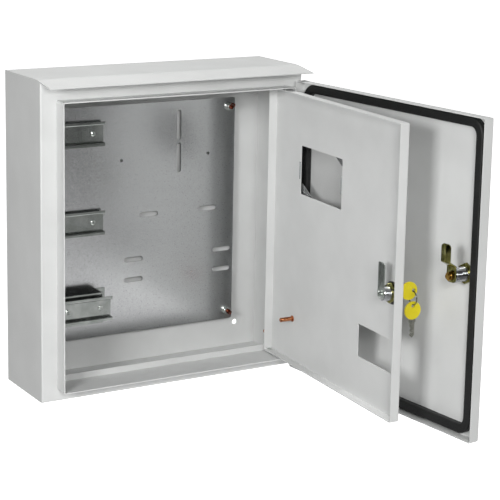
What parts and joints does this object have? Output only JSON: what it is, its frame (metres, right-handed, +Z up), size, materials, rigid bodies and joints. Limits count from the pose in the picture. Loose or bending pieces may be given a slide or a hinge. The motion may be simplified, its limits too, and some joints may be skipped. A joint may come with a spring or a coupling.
{
  "type": "electric meter box",
  "caption": "Wall-mounted sheet steel electricity meter enclosure with a visored roof, gasketed weather door, inner door with window and breaker cut-out, and a rail-fitted mounting plate.",
  "frame": {"origin": "centre of the wall-hole rectangle, on the wall plane (back of the box)", "axes": "+X to the right seen from the front, +Y into the wall, +Z up"},
  "size_m": [0.4279, 0.5115, 0.436],
  "materials": {
    "grey_powder_coat": "light grey powder coat, fine orange peel",
    "galvanised_sheet": "galvanised sheet with spangle",
    "zinc_plated_steel": "bright zinc plate",
    "coppered_steel": "copper-flashed weld stud",
    "black_foam_gasket": "foamed polyurethane",
    "chromed_zinc": "bright chrome plate",
    "yellow_passivated_steel": "yellow passivated zinc",
    "brass": "turned brass",
    "black_washer": "black plastic",
    "clear_pane": "clear plastic sheet",
    "nickel_blade": "nickel plate",
    "yellow_plastic": "moulded yellow plastic"
  },
  "bodies": {
    "enclosure": {"enclosure_shell": "grey_powder_coat", "door_frame": "grey_powder_coat", "roof_canopy": "grey_powder_coat", "mounting_plate": "galvanised_sheet", "plate_studs": "coppered_steel", "plate_washers": "zinc_plated_steel", "plate_nuts": "zinc_plated_steel", "upper_din_rail": "zinc_plated_steel", "middle_din_rail": "zinc_plated_steel", "lower_din_rail": "zinc_plated_steel", "rail_bracket": "zinc_plated_steel", "rail_rivets": "zinc_plated_steel", "body_earth_stud": "coppered_steel", "outer_hinge_lugs": "grey_powder_coat"},
    "outer_door": {"outer_door_panel": "grey_powder_coat", "door_gasket": "black_foam_gasket", "outer_hinge_brackets": "grey_powder_coat", "outer_hinge_pins": "zinc_plated_steel", "outer_lock_barrel": "chromed_zinc", "outer_lock_nut": "yellow_passivated_steel"},
    "outer_lock": {"outer_lock_plug": "brass", "outer_lock_cam": "yellow_passivated_steel", "outer_cam_nut": "brass"},
    "inner_door": {"inner_door_panel": "grey_powder_coat", "window_pane": "clear_pane", "window_corner_plates": "galvanised_sheet", "inner_hinge_pins": "zinc_plated_steel", "inner_door_earth_stud": "coppered_steel", "inner_lock_barrel": "chromed_zinc", "inner_lock_washer": "black_washer", "inner_lock_nut": "yellow_passivated_steel"},
    "inner_lock": {"inner_lock_plug": "brass", "inner_lock_cam": "zinc_plated_steel", "inner_cam_screw": "zinc_plated_steel", "key_blade": "nickel_blade", "key_head": "yellow_plastic"},
    "key_ring": {"key_ring": "nickel_blade"},
    "spare_key": {"spare_key_blade": "nickel_blade", "spare_key_head": "yellow_plastic"}
  },
  "joints": [
    {"name": "outer_door_hinge", "type": "hinge", "parent": "enclosure", "child": "outer_door", "pos_m": [0.184, -0.1395, 0], "axis": [0, 0, 1], "range_deg": [-95, 5]},
    {"name": "inner_door_hinge", "type": "hinge", "parent": "enclosure", "child": "inner_door", "pos_m": [0.168, -0.099, 0], "axis": [0, 0, 1], "range_deg": [-86.45, 4.55]},
    {"name": "outer_lock_turn", "type": "hinge", "parent": "outer_door", "child": "outer_lock", "pos_m": [0.22401, -0.4763, 0.002], "axis": [0.9962, 0.0872, 0], "range_deg": [0, 90]},
    {"name": "inner_lock_turn", "type": "hinge", "parent": "inner_door", "child": "inner_lock", "pos_m": [0.15491, -0.415, -0.0301], "axis": [0.9981, -0.0619, 0], "range_deg": [0, 90]},
    {"name": "key_ring_swing", "type": "hinge", "parent": "inner_lock", "child": "key_ring", "pos_m": [0.18485, -0.41685, -0.0312], "axis": [-0.9981, 0.0619, 0], "range_deg": [-15, 15]},
    {"name": "spare_key_swing", "type": "hinge", "parent": "key_ring", "child": "spare_key", "pos_m": [0.18485, -0.41685, -0.0492], "axis": [-0.9981, 0.0619, 0], "range_deg": [-15, 15]}
  ],
  "couplings": [
    {"joint": "inner_door_hinge", "follows": "outer_door_hinge", "ratio": 0.91}
  ]
}
